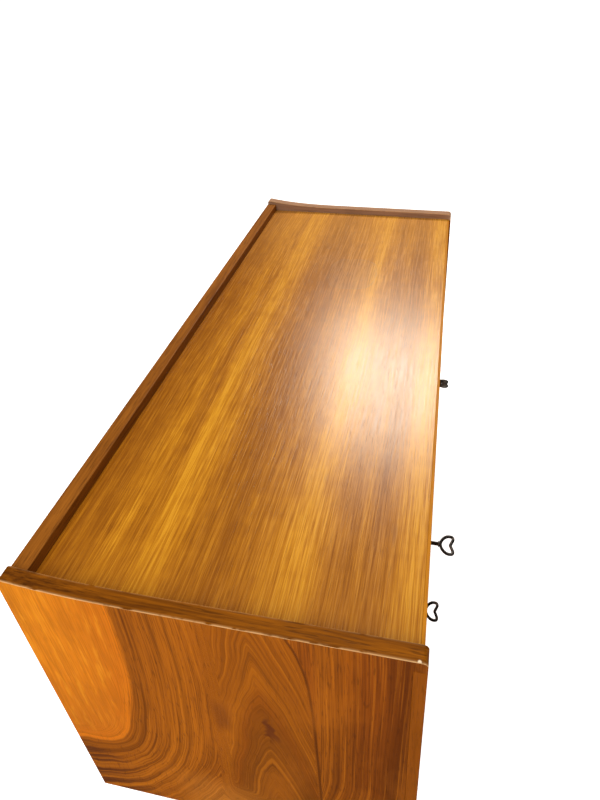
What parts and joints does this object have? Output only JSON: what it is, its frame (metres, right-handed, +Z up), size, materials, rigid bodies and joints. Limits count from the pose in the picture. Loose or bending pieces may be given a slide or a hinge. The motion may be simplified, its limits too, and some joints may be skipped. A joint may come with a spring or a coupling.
{
  "type": "dresser",
  "caption": "Low teak dresser with a grid of sliding drawers, side edges swept up at the back corners, a recessed top behind a raised lip, drawer locks with keys and tapered legs.",
  "frame": {"origin": "on the floor under the centre of the overall box, keys included", "axes": "+X along the length, +Y toward the back, +Z up; the drawers open toward -Y"},
  "size_m": [1, 0.477, 0.691],
  "materials": {
    "side_veneer": "satin",
    "top_veneer": "satin",
    "front_veneer": "satin",
    "teak_solid": "satin",
    "back_board": "matte",
    "frame_wood": "matte",
    "base_wood": "satin",
    "drawer_wood": "matte",
    "drawer_ply": "matte",
    "plate_brass": "aged",
    "bolt_brass": "worn",
    "lock_steel": "dull",
    "key_steel": "blackened, worn",
    "screw_steel": "zinc"
  },
  "bodies": {
    "case": {"side_left": "side_veneer", "side_right": "side_veneer", "strip_left": "teak_solid", "strip_right": "teak_solid", "lipping_left": "teak_solid", "lipping_right": "teak_solid", "top_panel": "top_veneer", "top_front_edging": "teak_solid", "back_lip": "teak_solid", "back_panel": "back_board", "bottom_panel": "side_veneer", "divider_left": "side_veneer", "divider_right": "side_veneer", "frame_upper": "frame_wood", "frame_lower": "frame_wood", "base_frame": "base_wood", "leg_front_left": "base_wood", "leg_front_right": "base_wood", "leg_back_left": "base_wood", "leg_back_right": "base_wood", "base_screws": "screw_steel"},
    "drawer_left_top": {"drawer_left_top_front": "front_veneer", "drawer_left_top_box": "drawer_wood", "drawer_left_top_bottom": "drawer_ply", "key_plate_left_top": "plate_brass", "lock_left_top": "lock_steel"},
    "drawer_middle_top": {"drawer_middle_top_front": "front_veneer", "drawer_middle_top_box": "drawer_wood", "drawer_middle_top_bottom": "drawer_ply", "key_plate_middle_top": "plate_brass", "lock_middle_top": "lock_steel"},
    "drawer_right_top": {"drawer_right_top_front": "front_veneer", "drawer_right_top_box": "drawer_wood", "drawer_right_top_bottom": "drawer_ply"},
    "drawer_left_center": {"drawer_left_center_front": "front_veneer", "drawer_left_center_box": "drawer_wood", "drawer_left_center_bottom": "drawer_ply", "key_plate_left_center": "plate_brass", "lock_left_center": "lock_steel"},
    "drawer_middle_center": {"drawer_middle_center_front": "front_veneer", "drawer_middle_center_box": "drawer_wood", "drawer_middle_center_bottom": "drawer_ply"},
    "drawer_right_center": {"drawer_right_center_front": "front_veneer", "drawer_right_center_box": "drawer_wood", "drawer_right_center_bottom": "drawer_ply"},
    "drawer_left_bottom": {"drawer_left_bottom_front": "front_veneer", "drawer_left_bottom_box": "drawer_wood", "drawer_left_bottom_bottom": "drawer_ply"},
    "drawer_middle_bottom": {"drawer_middle_bottom_front": "front_veneer", "drawer_middle_bottom_box": "drawer_wood", "drawer_middle_bottom_bottom": "drawer_ply"},
    "drawer_right_bottom": {"drawer_right_bottom_front": "front_veneer", "drawer_right_bottom_box": "drawer_wood", "drawer_right_bottom_bottom": "drawer_ply"},
    "key_body_middle_top": {"key_middle_top": "key_steel"},
    "bolt_body_middle_top": {"bolt_middle_top": "bolt_brass"},
    "key_body_left_top": {"key_left_top": "key_steel"},
    "bolt_body_left_top": {"bolt_left_top": "bolt_brass"},
    "key_body_left_center": {"key_left_center": "key_steel"},
    "bolt_body_left_center": {"bolt_left_center": "bolt_brass"}
  },
  "joints": [
    {"name": "drawer_left_top_slide", "type": "slide", "parent": "case", "child": "drawer_left_top", "axis": [0, -1, 0], "range_m": [0, 0.3]},
    {"name": "drawer_middle_top_slide", "type": "slide", "parent": "case", "child": "drawer_middle_top", "axis": [0, -1, 0], "range_m": [0, 0.3]},
    {"name": "drawer_right_top_slide", "type": "slide", "parent": "case", "child": "drawer_right_top", "axis": [0, -1, 0], "range_m": [0, 0.3]},
    {"name": "drawer_left_center_slide", "type": "slide", "parent": "case", "child": "drawer_left_center", "axis": [0, -1, 0], "range_m": [0, 0.3]},
    {"name": "drawer_middle_center_slide", "type": "slide", "parent": "case", "child": "drawer_middle_center", "axis": [0, -1, 0], "range_m": [0, 0.3]},
    {"name": "drawer_right_center_slide", "type": "slide", "parent": "case", "child": "drawer_right_center", "axis": [0, -1, 0], "range_m": [0, 0.3]},
    {"name": "drawer_left_bottom_slide", "type": "slide", "parent": "case", "child": "drawer_left_bottom", "axis": [0, -1, 0], "range_m": [0, 0.3]},
    {"name": "drawer_middle_bottom_slide", "type": "slide", "parent": "case", "child": "drawer_middle_bottom", "axis": [0, -1, 0], "range_m": [0, 0.3]},
    {"name": "drawer_right_bottom_slide", "type": "slide", "parent": "case", "child": "drawer_right_bottom", "axis": [0, -1, 0], "range_m": [0, 0.3]},
    {"name": "key_turn_middle_top", "type": "hinge", "parent": "drawer_middle_top", "child": "key_body_middle_top", "pos_m": [0, -0.1795, 0.58083], "axis": [0, 1, 0], "range_deg": [0, 78]},
    {"name": "bolt_throw_middle_top", "type": "slide", "parent": "drawer_middle_top", "child": "bolt_body_middle_top", "axis": [0, 0, 1], "range_m": [0, 0.008]},
    {"name": "key_turn_left_top", "type": "hinge", "parent": "drawer_left_top", "child": "key_body_left_top", "pos_m": [-0.307, -0.1795, 0.58083], "axis": [0, 1, 0], "range_deg": [0, 90]},
    {"name": "bolt_throw_left_top", "type": "slide", "parent": "drawer_left_top", "child": "bolt_body_left_top", "axis": [0, 0, 1], "range_m": [0, 0.008]},
    {"name": "key_turn_left_center", "type": "hinge", "parent": "drawer_left_center", "child": "key_body_left_center", "pos_m": [-0.307, -0.1795, 0.4285], "axis": [0, 1, 0], "range_deg": [0, 90]},
    {"name": "bolt_throw_left_center", "type": "slide", "parent": "drawer_left_center", "child": "bolt_body_left_center", "axis": [0, 0, 1], "range_m": [0, 0.008]}
  ],
  "couplings": [
    {"joint": "key_turn_middle_top", "follows": "bolt_throw_middle_top", "rad_per_m": 170.17},
    {"joint": "key_turn_left_top", "follows": "bolt_throw_left_top", "rad_per_m": 196.35},
    {"joint": "key_turn_left_center", "follows": "bolt_throw_left_center", "rad_per_m": 196.35}
  ]
}
